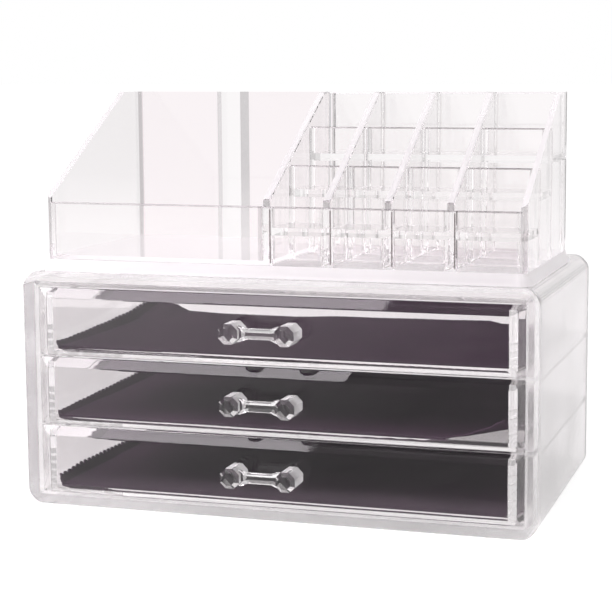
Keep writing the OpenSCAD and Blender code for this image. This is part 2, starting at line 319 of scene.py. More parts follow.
def octagon(centre, across, y, z):
    radius = across / 2 / math.cos(math.radians(SIDE_ANGLE / 2))
    angles = [math.radians(SIDE_ANGLE / 2 + SIDE_ANGLE * k) for k in range(SIDES)]
    return [(centre + radius * math.cos(angle), y, z + radius * math.sin(angle)) for angle in angles]


def make_knob(x, z):
    return loft("knob", octagon(x, KNOB_ACROSS, FRONT - KNOB_STANDOFF, z),
                octagon(x, KNOB_ACROSS, FRONT - KNOB_LENGTH + KNOB_CHAMFER, z),
                octagon(x, KNOB_ACROSS - 2 * KNOB_CHAMFER, FRONT - KNOB_LENGTH, z))


def chamfered_bar(stations, front, rear):
    """A bar of eight-sided section between stations, each an X, a middle height and half a height."""
    points, faces = [], []
    cut = BAR_FRONT_CHAMFER
    for x, z, half in stations:
        top, bottom = (share * 2 * half / BAR_HEIGHT for share in BAR_REAR_CHAMFERS)
        points += [
            (x, front, z - half + cut), (x, front, z + half - cut), (x, front + cut, z + half),
            (x, rear - top, z + half), (x, rear, z + half - top), (x, rear, z - half + bottom),
            (x, rear - bottom, z - half), (x, front + cut, z - half),
        ]
    last = SIDES * (len(stations) - 1)
    for start in range(0, last, SIDES):
        for i in range(SIDES):
            j = (i + 1) % SIDES
            faces.append((start + i, start + j, start + SIDES + j, start + SIDES + i))
    faces += [tuple(range(SIDES)), tuple(range(last, last + SIDES))]
    return mesh_object("bar", points, faces)


def make_handle(name, level):
    z = front_bottom(level) + FRONT_HEIGHT / 2
    knobs = [make_knob(x, z) for x in KNOB_X]
    reach = (KNOB_SPACING - KNOB_ACROSS) / 2
    waist = reach - FLARE_LENGTH
    half_bar = BAR_HEIGHT / 2
    half_flare = FLARE_HEIGHT / 2
    outline = [(-reach - BAR_BITE, half_flare), (-reach, half_flare), (-waist, half_bar),
               (waist, half_bar), (reach, half_flare), (reach + BAR_BITE, half_flare)]
    bar = chamfered_bar([(HANDLE_SHIFT + x, z, up) for x, up in outline],
                        FRONT - FINGER_GAP - BAR_THICKNESS, FRONT - FINGER_GAP)
    return join_and_cut(name, bar, added=knobs, rounding=HANDLE_ROUNDING)


# ---- tray ----


def rounded(left, right, front, rear, radius, z):
    points = []
    for cx, cy, turn in (
        (right - radius, rear - radius, 0), (left + radius, rear - radius, 90),
        (left + radius, front + radius, 180), (right - radius, front + radius, 270),
    ):
        for k in range(CORNER_STEPS + 1):
            angle = math.radians(turn + 90 * k / CORNER_STEPS)
            points.append((cx + radius * math.cos(angle), cy + radius * math.sin(angle), z))
    return points


def slope_top(y):
    if y >= LEVEL_FRONT:
        return TRAY_TOP
    share = (y - TRAY_FRONT) / (LEVEL_FRONT - TRAY_FRONT)
    return SIDE_FRONT_TOP + (TRAY_TOP - SIDE_FRONT_TOP) * share


def sloping_plate(name, left, right, front, rear, bottom):
    outline = [(rear, bottom), (front, bottom), (front, slope_top(front))]
    if rear > LEVEL_FRONT:
        outline.append((LEVEL_FRONT, TRAY_TOP))
    outline.append((rear, slope_top(rear)))
    return along_x(name, outline, left, right)


def corner_fillets(corners):
    """Quarter-round columns where walls meet: each corner is X, Y, its two directions, bottom and top."""
    points, faces = [], []
    for x, y, turn_x, turn_y, bottom, top in corners:
        outline = [(-OVERLAP, -OVERLAP), (FILLET, -OVERLAP)]
        for k in range(FILLET_STEPS + 1):
            angle = math.radians(90 * k / FILLET_STEPS)
            outline.append((FILLET * (1 - math.sin(angle)), FILLET * (1 - math.cos(angle))))
        outline.append((-OVERLAP, FILLET))
        first = len(points)
        count = len(outline)
        for z in (bottom, top):
            points += [(x + turn_x * a, y + turn_y * b, z) for a, b in outline]
        faces += [tuple(range(first, first + count)), tuple(range(first + count, first + 2 * count))]
        for i in range(count):
            j = (i + 1) % count
            faces.append((first + i, first + j, first + count + j, first + count + i))
    return mesh_object("fillets", points, faces)


def front_wall_cut():
    """All that is above the front wall, down to the wall's rounded rim."""
    rim = []
    for k in range(2 * FILLET_STEPS + 1):
        angle = math.radians(180 - 90 * k / FILLET_STEPS)
        middle = TRAY_FRONT + (TRAY_ROUNDING if k <= FILLET_STEPS else TRAY_WALL - TRAY_ROUNDING)
        rim.append((middle + TRAY_ROUNDING * math.cos(angle),
                    FRONT_WALL_TOP - TRAY_ROUNDING * (1 - math.sin(angle))))
    rear = INSIDE_FRONT + 2 * CUT
    return along_x(
        "above_front",
        [(TRAY_FRONT - CUT, TRAY_TOP), (TRAY_FRONT - CUT, FRONT_WALL_TOP - TRAY_ROUNDING), *rim,
         (rear, FRONT_WALL_TOP - TRAY_ROUNDING), (rear, TRAY_TOP)],
        INSIDE_LEFT, INSIDE_RIGHT)


def make_tray_shell():
    """The foot and the outer walls."""
    outside = (TRAY_LEFT, TRAY_RIGHT, TRAY_FRONT, TRAY_REAR, TRAY_CORNER)
    walls = loft("walls", rounded(*outside, WALLS_BOTTOM), rounded(*outside, TRAY_TOP))
    foot = loft(
        "foot",
        rounded(TRAY_LEFT - FOOT_FLARE, TRAY_RIGHT + FOOT_FLARE, TRAY_FRONT - FOOT_FLARE,
                TRAY_REAR + FOOT_FLARE, TRAY_CORNER + FOOT_FLARE, FOOT_BOTTOM),
        rounded(*outside, WALLS_BOTTOM))
    hollow = (INSIDE_LEFT, INSIDE_RIGHT, INSIDE_FRONT, INSIDE_REAR, FILLET)
    inside = loft("inside", rounded(*hollow, FOOT_BOTTOM - CUT), rounded(*hollow, TRAY_TOP + CUT))
    before = TRAY_FRONT - CUT
    above = along_x("above", [(before, slope_top(before)), (LEVEL_FRONT, TRAY_TOP),
                              (LEVEL_FRONT, TRAY_TOP + CUT), (before, TRAY_TOP + CUT)],
                    TRAY_LEFT - CUT, TRAY_RIGHT + CUT)
    return join_and_cut("tray_shell", walls, added=(foot,), cut=(inside, above, front_wall_cut()))


def make_bay():
    """The floor of the bay, and the rib on its back wall."""
    bay_floor = block("bay_floor", (INSIDE_LEFT - OVERLAP, INSIDE_FRONT - OVERLAP, WALLS_BOTTOM),
                      (DIVIDERS[0] + OVERLAP, INSIDE_REAR + OVERLAP, BAY_FLOOR_TOP))
    half = RIB_WIDTH / 2
    left, right = RIB_MIDDLE - half, RIB_MIDDLE + half
    rib = [(left, INSIDE_REAR), (left + RIB_SLOPE, INSIDE_REAR - RIB_DEPTH),
           (right - RIB_SLOPE, INSIDE_REAR - RIB_DEPTH), (right, INSIDE_REAR),
           (right, INSIDE_REAR + OVERLAP), (left, INSIDE_REAR + OVERLAP)]
    return [bay_floor, loft("rib", [(x, y, BAY_FLOOR_TOP - OVERLAP) for x, y in rib],
                            [(x, y, TRAY_TOP) for x, y in rib])]


def make_dividers():
    dividers = []
    for k, left in enumerate(DIVIDERS):
        rear = INSIDE_REAR if k == 0 else TRAY_FRONT + ROWS * ROW_PITCH
        divider = sloping_plate("divider", left, left + DIVIDER_WALL, INSIDE_FRONT - OVERLAP,
                                rear + OVERLAP, WALLS_BOTTOM)
        round_edges(divider.data, TRAY_ROUNDING)
        dividers.append(divider)
    return dividers


def row_front(row):
    return TRAY_FRONT + row * ROW_PITCH


def row_top(row):
    return TRAY_TOP if row == ROWS else FRONT_WALL_TOP + row * ROW_RISE


def make_rows():
    """The walls and raised floors of the cells, and the floor of the slot behind them."""
    solids = []
    right = INSIDE_RIGHT + OVERLAP
    for row in range(ROWS + 1):
        y = row_front(row)
        if row:
            wall = block("row_wall", (ROW_START, y, WALLS_BOTTOM - OVERLAP),
                         (right, y + TRAY_WALL, row_top(row)))
            round_edges(wall.data, TRAY_ROUNDING)
            solids.append(wall)
        floor_top = FIRST_FLOOR + min(row, ROWS - 1) * FLOOR_RISE
        floor_rear = INSIDE_REAR if row == ROWS else y + ROW_PITCH
        solids.append(block("cell_floor", (ROW_START, y + TRAY_WALL - OVERLAP, floor_top - CELL_FLOOR),
                            (right, floor_rear + OVERLAP, floor_top)))
    return solids


def fillet_corners():
    """Where the fillets stand, as corner_fillets takes them."""
    first, bottom = DIVIDERS[0], BAY_FLOOR_TOP - OVERLAP
    corners = [(first, INSIDE_FRONT, -1, 1, bottom, FRONT_WALL_TOP - TRAY_ROUNDING),
               (first, INSIDE_REAR, -1, -1, bottom, TRAY_TOP)]
    for row in range(ROWS + 1):
        y, top = row_front(row), row_top(row) - TRAY_ROUNDING
        for left, right in zip(DIVIDERS, (*DIVIDERS[1:], INSIDE_RIGHT)):
            for x, turn in ((left + DIVIDER_WALL, 1), (right, -1)):
                if row < ROWS:
                    corners.append((x, y + TRAY_WALL, turn, 1, WALLS_BOTTOM, top))
                if row:
                    corners.append((x, y, turn, -1, WALLS_BOTTOM, top))
    return corners


def make_tray():
    shell = make_tray_shell()
    parts = make_bay() + make_dividers() + make_rows() + [corner_fillets(fillet_corners())]
    seams = [
        block("seam", (left + DIVIDER_WALL + SEAM_OFFSET, TRAY_FRONT - CUT, SEAM_BOTTOM),
              (left + DIVIDER_WALL + SEAM_OFFSET + SEAM_WIDTH, TRAY_FRONT + SEAM_DEPTH, SEAM_TOP))
        for left in DIVIDERS]
    return join_and_cut("tray_moulding", shell, added=parts, cut=seams)


# ---- mats ----

MAT_LEFT = -106.5
MAT_RIGHT = 105.6
MAT_FRONT = BOX_FRONT + 0.3
MAT_REAR = BOX_REAR - BOX_WALL - 1.2
MAT_THICKNESS = 0.8
MAT_GRID = 1.0
CURL_GRID = 0.5
CURL_WIDTH = 3.0  # of the margin that stands up against the drawer's left wall
TOOTH_PITCH = 4.2
TOOTH_DEPTH = {"upper": 1.0, "middle": 1.0, "lower": 1.2}
TOOTH_REACH = (1.0, 0.55, 0.2)  # how much of a tooth the first, second and third ring of points take
# how far the mat turns up at its left edge, from the front to the rear
LEFT_CURL = {
    "upper": (2.4, 3.4, 4.4, 5.6, 6.6, 6.4),
    "middle": (2.2, 3.3, 4.0, 4.8, 5.4, 5.0),
    "lower": (4.6, 5.8, 5.6, 5.2, 4.8, 4.4),
}
CURL_FOOT = (80.0, 102.0)  # distance left of the middle over which the left edge starts to rise
CURL_SHARES = (0.1, 0.9)  # of the edge's height, gained there and in the margin
# height of the rear edge, each with its X
REAR_LIFT = {
    "upper": ((-106, 5.6), (-99, 4.6), (-88, 1.0), (-66, 0.2), (-34, 0.2), (0, 1.3), (50, 1.7),
              (72, 2.2), (80, 0.9), (106, 0.6)),
    "middle": ((-106, 1.2), (-70, 0.5), (-20, 0.2), (40, 0.4), (80, 0.7), (106, 0.4)),
    "lower": ((-106, 0.9), (-70, 0.3), (0, 0.2), (60, 0.4), (106, 0.3)),
}
# height of the front edge, each with its X
FRONT_LIFT = {
    "upper": ((-106, 0.9), (106, 0.2)),
    "middle": ((-106, 0.4), (106, 0.0)),
    "lower": ((-106, 0.3), (-96, 0.1), (106, 0.0)),
}
FRONT_LIFT_END = 0.12  # share of the mat's depth
REAR_LIFT_START = 0.6  # share of the mat's depth
REAR_LIFT_KEPT = 0.4  # share of the rear edge's lift that adds to the left edge's
MAT_REST = 0.12  # lowest height above the drawer's floor
WAVE_HEIGHT = 0.15
WAVE_LENGTHS = (17.0, 29.0)  # along X and along Y
CURLED_CORNER = 11.0  # front right corner of the middle drawer's mat
CORNER_REACH = (44.0, 52.0)  # how far the curl goes along the front and along the side
CORNER_BEND = 2.3  # power with which it rises
RIPPLE_HEIGHT = 0.4  # of the ripples along the front, beside the curled corner
RIPPLE_START = (30.0, 60.0)
RIPPLE_DEPTH = 0.1  # share of the mat's depth
RIPPLE_LENGTH = 3.1


def smooth(value, low, high):
    share = min(max((value - low) / (high - low), 0.0), 1.0)
    return share * share * (3 - 2 * share)


def along(heights, share):
    """The smooth value at a share of the way along a row of heights."""
    place = min(max(share, 0.0), 1.0) * (len(heights) - 1)
    k = min(int(place), len(heights) - 2)
    return heights[k] + (heights[k + 1] - heights[k]) * smooth(place - k, 0.0, 1.0)


def between(stations, x):
    """The smooth value at x between stations, each an X and a height."""
    for (start, low), (end, high) in zip(stations, stations[1:]):
        if x <= end:
            return low + (high - low) * smooth(x, start, end)
    return stations[-1][1]


def mat_height(drawer, x, y):
    depth = (y - MAT_FRONT) / (MAT_REAR - MAT_FRONT)
    front = between(FRONT_LIFT[drawer], x) * (1 - smooth(depth, 0.0, FRONT_LIFT_END))
    rear = between(REAR_LIFT[drawer], x) * smooth(depth, REAR_LIFT_START, 1.0)
    side = along(LEFT_CURL[drawer], depth) * (
        CURL_SHARES[0] * smooth(-x, *CURL_FOOT)
        + CURL_SHARES[1] * smooth(-x, -MAT_LEFT - CURL_WIDTH, -MAT_LEFT))
    height = MAT_REST + max(rear, REAR_LIFT_KEPT * rear + side) + front
    height += WAVE_HEIGHT * math.sin(x / WAVE_LENGTHS[0] + y / WAVE_LENGTHS[1]) ** 2
    if drawer == "middle":
        reach_x, reach_y = CORNER_REACH
        corner = max(0.0, 1.0 - (MAT_RIGHT - x) / reach_x - (y - MAT_FRONT) / reach_y)
        height += CURLED_CORNER * corner ** CORNER_BEND
        beside = smooth(x, *RIPPLE_START) * (1 - smooth(depth, 0.0, RIPPLE_DEPTH))
        height += RIPPLE_HEIGHT * beside * math.sin(x / RIPPLE_LENGTH) ** 2
    return height


def tooth(drawer, distance):
    share = (distance / TOOTH_PITCH) % 1.0
    return TOOTH_DEPTH[drawer] * abs(2 * share - 1)


def evenly(start, end, step):
    count = round((end - start) / step)
    return [start + (end - start) * k / count for k in range(count)]


def make_mat(name, drawer, level):
    """A thin sheet laid in a drawer, pinked along its four edges."""
    floor_z = front_bottom(level) + FLOOR_LIFT + BOX_FLOOR
    curl_end = MAT_LEFT + CURL_WIDTH + MAT_GRID
    across = evenly(MAT_LEFT, curl_end, CURL_GRID) + evenly(curl_end, MAT_RIGHT, MAT_GRID) + [MAT_RIGHT]
    deep = evenly(MAT_FRONT, MAT_REAR, MAT_GRID) + [MAT_REAR]
    last_i, last_j = len(across) - 1, len(deep) - 1
    points, faces = [], []
    for j, y_line in enumerate(deep):
        for i, x_line in enumerate(across):
            x, y = x_line, y_line
            for ring, reach in enumerate(TOOTH_REACH):
                if i in (ring, last_i - ring):
                    x += reach * tooth(drawer, y_line - MAT_FRONT) * (1 if i == ring else -1)
                if j in (ring, last_j - ring):
                    y += reach * tooth(drawer, x_line - MAT_LEFT) * (1 if j == ring else -1)
            points.append((x, y, floor_z + mat_height(drawer, x, y) + MAT_THICKNESS / 2))
    wide = last_i + 1
    for j in range(last_j):
        for i in range(last_i):
            k = j * wide + i
            faces.append((k, k + 1, k + wide + 1, k + wide))
    mat = mesh_object(name, points, faces)
    skin = mat.modifiers.new("thickness", "SOLIDIFY")
    skin.thickness = MAT_THICKNESS * MM
    skin.offset = 0
    graph = bpy.context.evaluated_depsgraph_get()
    mesh = bpy.data.meshes.new_from_object(mat.evaluated_get(graph))
    mat.modifiers.clear()
    mat.data = mesh
    for face in mesh.polygons:
        face.use_smooth = True
    return mat


# ---- finishes ----

PLASTIC_IOR = 1.49
RUB_RANGE = (0.42, 0.68)  # of the noise, from where a surface is polished to where it is rubbed
SCRATCH_TURN = (0.3, 0.5, 0.4)
SCRATCH_SCALE = (18.0, 900.0, 140.0)
SCRATCH_RANGE = (0.66, 0.72)
SCRATCH_ROUGHNESS = 0.06
GRAIN_HEIGHT = 0.03  # share of the ripple's height
WEAR_RANGE = (0.35, 0.7)
DIAMOND_SCALE = 150.0
MESH_ROUGHNESS = (0.62, 0.46)  # as new, and worn
MESH_RELIEF = 0.012  # in millimetres


def new_group(name, inputs, outputs):
    group = bpy.data.node_groups.new(name, "ShaderNodeTree")
    for label, value in inputs:
        socket = group.interface.new_socket(name=label, in_out="INPUT", socket_type="NodeSocketFloat")
        socket.default_value = value
    for label in outputs:
        group.interface.new_socket(name=label, in_out="OUTPUT", socket_type="NodeSocketFloat")
    return group, group.nodes.new("NodeGroupInput"), group.nodes.new("NodeGroupOutput")


def noise(tree, place, scale, detail=2.0):
    node = tree.nodes.new("ShaderNodeTexNoise")
    node.inputs["Scale"].default_value = scale
    node.inputs["Detail"].default_value = detail
    tree.links.new(place, node.inputs["Vector"])
    return node.outputs["Fac"]


def spread(tree, value, low, high, to_low, to_high):
    """A value between low and high, spread from to_low to to_high."""
    node = tree.nodes.new("ShaderNodeMapRange")
    tree.links.new(value, node.inputs["Value"])
    for socket, setting in (("From Min", low), ("From Max", high), ("To Min", to_low), ("To Max", to_high)):
        if hasattr(setting, "links"):
            tree.links.new(setting, node.inputs[socket])
        else:
            node.inputs[socket].default_value = setting
    return node.outputs["Result"]


def combined(tree, operation, first, second):
    node = tree.nodes.new("ShaderNodeMath")
    node.operation = operation
    for socket, value in zip(node.inputs, (first, second)):
        if hasattr(value, "links"):
            tree.links.new(value, socket)
        else:
            socket.default_value = value
    return node.outputs[0]


def stretched(tree, place, turn, scale=(1, 1, 1)):
    """A place turned and scaled, for a pattern that lies along one way."""
    node = tree.nodes.new("ShaderNodeMapping")
    node.inputs["Rotation"].default_value = turn
    node.inputs["Scale"].default_value = scale
    tree.links.new(place, node.inputs["Vector"])
    return node.outputs[0]


def moulded_surface_group():
    """Handling marks and moulding ripple, shared by all the clear plastics."""
    group, given, result = new_group(
        "moulded surface", (("Polished", 0.01), ("Rubbed", 0.05), ("Scratch Width", 1.0)),
        ("Roughness", "Ripple"))
    where = group.nodes.new("ShaderNodeTexCoord").outputs["Object"]
    marks = noise(group, where, scale=22.0)
    rubbed = spread(group, marks, *RUB_RANGE, given.outputs["Polished"], given.outputs["Rubbed"])
    streaks = noise(group, stretched(group, where, SCRATCH_TURN, SCRATCH_SCALE), scale=1.0, detail=3.0)
    scratch = combined(group, "MULTIPLY", spread(group, streaks, *SCRATCH_RANGE, 0.0, SCRATCH_ROUGHNESS),
                       given.outputs["Scratch Width"])
    group.links.new(combined(group, "ADD", rubbed, scratch), result.inputs["Roughness"])
    ripple = noise(group, where, scale=34.0, detail=1.0)
    grain = spread(group, noise(group, where, scale=420.0), 0.0, 1.0, 0.0, GRAIN_HEIGHT)
    group.links.new(combined(group, "ADD", ripple, grain), result.inputs["Ripple"])
    return group


def lattice_group():
    """The small diamonds pressed into the mats, and the dust and wear on them."""
    group, given, result = new_group(
        "pressed lattice", (("Diamond", DIAMOND_SCALE), ("Wear", 1.0)), ("Height", "Wear"))
    where = group.nodes.new("ShaderNodeTexCoord").outputs["Object"]
    bands = []
    for turn in (45, -45):
        wave = group.nodes.new("ShaderNodeTexWave")
        wave.bands_direction = "X"
        group.links.new(stretched(group, where, (0, 0, math.radians(turn))), wave.inputs["Vector"])
        group.links.new(given.outputs["Diamond"], wave.inputs["Scale"])
        bands.append(wave.outputs["Fac"])
    group.links.new(combined(group, "MULTIPLY", *bands), result.inputs["Height"])
    worn = spread(group, noise(group, where, scale=26.0, detail=4.0), *WEAR_RANGE, 0.0, 1.0)
    group.links.new(combined(group, "MULTIPLY", worn, given.outputs["Wear"]), result.inputs["Wear"])
    return group


def placed(tree, group, **values):
    node = tree.nodes.new("ShaderNodeGroup")
    node.node_tree = group
    for label, value in values.items():
        node.inputs[label.replace("_", " ")].default_value = value
    return node


def relief(tree, height, shader, depth):
    bump = tree.nodes.new("ShaderNodeBump")
    bump.inputs["Distance"].default_value = depth * MM
    tree.links.new(height, bump.inputs["Height"])
    tree.links.new(bump.outputs[0], shader.inputs["Normal"])


moulded_surface = moulded_surface_group()
pressed_lattice = lattice_group()


def clear_plastic(name, tint, polished=0.01, rubbed=0.045, clear=1.0, ripple=0.06, scratches=1.0,
                  lit_through=0.93):
    """Clear plastic that lets a share of the light through as plain shadow."""
    material = bpy.data.materials.new(name)
    material.use_nodes = True
    tree = material.node_tree
    tree.nodes.clear()
    out = tree.nodes.new("ShaderNodeOutputMaterial")
    mix = tree.nodes.new("ShaderNodeMixShader")
    plastic = tree.nodes.new("ShaderNodeBsdfPrincipled")
    shade = tree.nodes.new("ShaderNodeBsdfTransparent")
    path = tree.nodes.new("ShaderNodeLightPath")
    surface = placed(tree, moulded_surface, Polished=polished, Rubbed=rubbed, Scratch_Width=scratches)
    plastic.inputs["Base Color"].default_value = (*tint, 1)
    plastic.inputs["IOR"].default_value = PLASTIC_IOR
    plastic.inputs["Transmission Weight"].default_value = clear
    shade.inputs["Color"].default_value = (lit_through, lit_through, lit_through, 1)
    tree.links.new(surface.outputs["Roughness"], plastic.inputs["Roughness"])
    relief(tree, surface.outputs["Ripple"], plastic, ripple)
    tree.links.new(path.outputs["Is Shadow Ray"], mix.inputs[0])
    tree.links.new(plastic.outputs[0], mix.inputs[1])
    tree.links.new(shade.outputs[0], mix.inputs[2])
    tree.links.new(mix.outputs[0], out.inputs["Surface"])
    return material


def dark_mesh(name, dark, worn):
    material = bpy.data.materials.new(name)
    material.use_nodes = True
    tree = material.node_tree
    cloth = tree.nodes["Principled BSDF"]
    surface = placed(tree, pressed_lattice)
    colour = tree.nodes.new("ShaderNodeMix")
    colour.data_type = "RGBA"
    tree.links.new(surface.outputs["Wear"], colour.inputs["Factor"])
    colour.inputs["A"].default_value = (*dark, 1)
    colour.inputs["B"].default_value = (*worn, 1)
    tree.links.new(colour.outputs["Result"], cloth.inputs["Base Color"])
    tree.links.new(spread(tree, surface.outputs["Wear"], 0.0, 1.0, *MESH_ROUGHNESS),
                   cloth.inputs["Roughness"])
    cloth.inputs["Specular IOR Level"].default_value = 0.0
    relief(tree, surface.outputs["Height"], cloth, MESH_RELIEF)
    return material


tray_plastic = clear_plastic("tray plastic", (0.994, 0.987, 0.988), lit_through=0.97)
tray_slopes = clear_plastic("tray sawn slopes", (0.985, 0.975, 0.979), polished=0.22, rubbed=0.34,
                            clear=0.25)
# the foot and the undersides at the walls' bottom are made milky white: painted light standing in for the
# light refracted through the clear foot
tray_foot_painted_light = clear_plastic("tray foot painted light", (0.985, 0.973, 0.977), polished=0.3, rubbed=0.4,
                                 clear=0.3)
tray_back_finish = clear_plastic("tray back", (0.985, 0.915, 0.938))
# grey tint on the rims of the front and row walls and on the tops of the dividers' fronts: painted shade
# for the dark lines that the clear rims show
tray_rims_painted_shade = clear_plastic("tray rims painted shade", (0.38, 0.362, 0.37), polished=0.06, rubbed=0.12)
# grey tint on the corner fillets in the bay and below the front wall's top: painted shade for the dark
# lines that the clear bends show
tray_bends_painted_shade = clear_plastic("tray bends painted shade", (0.62, 0.60, 0.61), polished=0.02, rubbed=0.06)
# near-black tint in the grooves down the tray's front: painted shade in the grooves
tray_seams_painted_shade = clear_plastic("tray seams painted shade", (0.10, 0.085, 0.085), polished=0.1, rubbed=0.2)
cabinet_plastic = clear_plastic("cabinet plastic", (0.985, 0.975, 0.978), polished=0.09, rubbed=0.19,
                                clear=0.91, ripple=0.03, scratches=0.3)
drawer_plastic = clear_plastic("drawer plastic", (0.985, 0.972, 0.977))
handle_plastic = clear_plastic("handle plastic", (0.97, 0.965, 0.97), rubbed=0.03)
# milky white for the knobs' right-facing sides: painted light standing in for the brightness that the clear
# knobs refract
knob_sides_painted_light = clear_plastic("knob sides painted light", (0.985, 0.975, 0.98), polished=0.06, rubbed=0.12, clear=0.45)
# one mat cloth in three shades: the upper mat's colours are darkened as painted shade, and the middle and
# lower mats' colours are lightened as painted light, to even out how much light reaches each drawer
mat_meshes_with_painted_light = {
    "upper": dark_mesh("upper mat mesh painted shade", (0.037, 0.0195, 0.0355), (0.0495, 0.030, 0.0465)),
    "middle": dark_mesh("middle mat mesh painted light", (0.049, 0.0245, 0.0465), (0.065, 0.037, 0.061)),
    "lower": dark_mesh("lower mat mesh painted light", (0.046, 0.0235, 0.044), (0.061, 0.035, 0.057)),
}

# ---- assembly ----

SIDE_LEAN = 0.3  # least sideways part of the normal of a knob's side that is made milky white as painted light


def dress(piece, material, body, slot, *nodes):
    piece.data.materials.clear()
    piece.data.materials.append(material)
    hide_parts(*nodes)
    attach(piece, body)
    return piece


dress(make_cabinet(), cabinet_plastic, "cabinet", "clear_cabinet",
      "cabinet_top", "cabinet_bottom", "cabinet_left_side", "cabinet_right_side", "cabinet_back",
      "cabinet_front_rim", "drawer_runners")
for level, drawer in enumerate(DRAWERS):
    body = drawer + "_drawer"
    dress(make_drawer(body + "_moulding", level), drawer_plastic, body, "clear_drawer",
          body + "_front", body + "_box")
    pull = dress(make_handle(body + "_pull", level), handle_plastic, body, "clear_handle",
                 body + "_handle")
    # the right-facing sides of each knob, behind the chamfer, take the milky white painted light
    pull.data.materials.append(knob_sides_painted_light)
    for face in pull.data.polygons:
        behind_chamfer = face.center.y > (FRONT - KNOB_LENGTH + KNOB_CHAMFER) * MM
        face.material_index = int(behind_chamfer and face.normal.x > SIDE_LEAN)
    mat = dress(make_mat(body + "_liner", drawer, level), mat_meshes_with_painted_light[drawer], body, "dark_mat",
                body + "_mat")
tray = dress(make_tray(), tray_plastic, "tray", "clear_tray",
             "tray_foot", "tray_bay_floor", "tray_back_wall", "tray_left_wall", "tray_right_wall",
             "tray_front_wall", "tray_back_rib", "cell_dividers", "cell_row_walls", "cell_floors")

# how far off a face may be and still count as part of a form, in millimetres
NEAR = 0.1
SEAM_NEAR = 0.05
FOOT_ABOVE = 0.3
FOOT_BELOW = 0.5
DIVIDER_BAND = 0.3
RIM_BAND = 0.8
SLOPE_BAND = 0.9


def on_divider(x):
    return any(left < x < left + DIVIDER_WALL for left in DIVIDERS)


def in_seam(x, y, z):
    across = any(-SEAM_NEAR < x - left - DIVIDER_WALL - SEAM_OFFSET < SEAM_WIDTH + SEAM_NEAR
                 for left in DIVIDERS)
    return (across and y < TRAY_FRONT + SEAM_DEPTH + NEAR
            and SEAM_BOTTOM - NEAR < z < SEAM_TOP + NEAR)


def on_row_rim(x, y, z):
    """Whether a place is on the upper rim of the front wall or of a row's wall, beside the dividers."""
    if on_divider(x) or not INSIDE_LEFT < x < INSIDE_RIGHT:
        return False
    return any(-NEAR < y - row_front(row) < TRAY_WALL + NEAR
               and row_top(row) - RIM_BAND < z < row_top(row) + NEAR for row in range(ROWS))


def on_bend(normal):
    return abs(normal.z) < 0.2 and abs(normal.x) > 0.15 and abs(normal.y) > 0.15


def finish_of(centre, normal):
    """The finish of a face of the tray, painted shade and painted light included, by where the face is and
    which way it looks.
    """
    x, y, z = centre / MM
    if z < WALLS_BOTTOM + FOOT_ABOVE and (normal.z < 0.5 or z < WALLS_BOTTOM - FOOT_BELOW):
        return tray_foot_painted_light
    if in_seam(x, y, z):
        return tray_seams_painted_shade
    if normal.y < -0.6 and y < INSIDE_FRONT and z > FRONT_WALL_TOP - DIVIDER_BAND and on_divider(x):
        return tray_rims_painted_shade
    if normal.z > 0.3 and normal.y < -0.2 and z > slope_top(y) - SLOPE_BAND:
        return tray_slopes
    if on_row_rim(x, y, z):
        return tray_rims_painted_shade
    if on_bend(normal) and (x < DIVIDERS[0] or y < INSIDE_FRONT and z < FRONT_WALL_TOP):
        return tray_bends_painted_shade
    if abs(normal.y) > 0.9 and y > INSIDE_REAR - NEAR and x < DIVIDERS[0]:
        return tray_back_finish
    return tray_plastic


tray_finishes = [tray_plastic, tray_slopes, tray_foot_painted_light, tray_back_finish, tray_rims_painted_shade, tray_bends_painted_shade,
                 tray_seams_painted_shade]
for finish in tray_finishes[1:]:
    tray.data.materials.append(finish)
for face in tray.data.polygons:
    face.material_index = tray_finishes.index(finish_of(face.center, face.normal))

# ---- studio, in metres unless said otherwise ----

BACKDROP = (-0.25, 0.968, 0.0)  # towards the middle of the white paper behind the object
BACKDROP_EDGE = (0.80, 0.93)  # cosine of the angle at which the paper ends, and at which it is whole
PAPER_TOP = (0.26, 0.42)  # sine of the height angle over which the paper ends
CEILING_EDGE = (0.75, 0.9)  # sine of the height angle over which the room gives way to the ceiling
CEILING_LEVEL = 1.25
ROOM_GREY = 0.63  # seen through the plastic, as is the next
PAPER_BEHIND = 0.95
MIRRORED_ROOM = 0.4
MIRRORED_PAPER = 1.0
AMBIENT = 0.52  # what lights the matt surfaces
FLOOR_LOW = (-40000, -40000, -0.4)  # the floor's corners, in millimetres, just under the object
FLOOR_HIGH = (40000, 40000, -0.05)
SWEEP = (1.2, 2.6)  # the floor is paper up to the first radius, and room from the second
PAPER_LEVEL = 0.74
FAR_FLOOR_LEVEL = ROOM_GREY - 0.2
SEEN_FLOOR_LEVEL = 0.84  # where the camera sees it itself
FLOOR_COLOUR = 0.4
AHEAD = (-0.13, -0.09)  # where the floor before the object begins and ends
AHEAD_COLOUR = 0.04
# mirrored in the drawer fronts: two places across, and the floor's level at each
FLOOR_GLEAM = (-0.34, 0.0, 1.15, 0.38)
LAMP_PLACE = Vector((-0.71, -0.74, 1.06))
LAMP_TARGET = Vector((0, 0, 0.06))
LAMP_SIZE = 0.8
LAMP_POWER = 12.6
LAMP_TINT = (1.0, 0.93, 0.98)
WARM_WHITE = (1.0, 0.983, 0.987, 1)
WHITE = (1, 1, 1, 1)


def chosen(tree, mask, no, yes):
    node = tree.nodes.new("ShaderNodeMix")
    for socket, value in (("Factor", mask), ("A", no), ("B", yes)):
        if hasattr(value, "links"):
            tree.links.new(value, node.inputs[socket])
        else:
            node.inputs[socket].default_value = value
    return node.outputs["Result"]


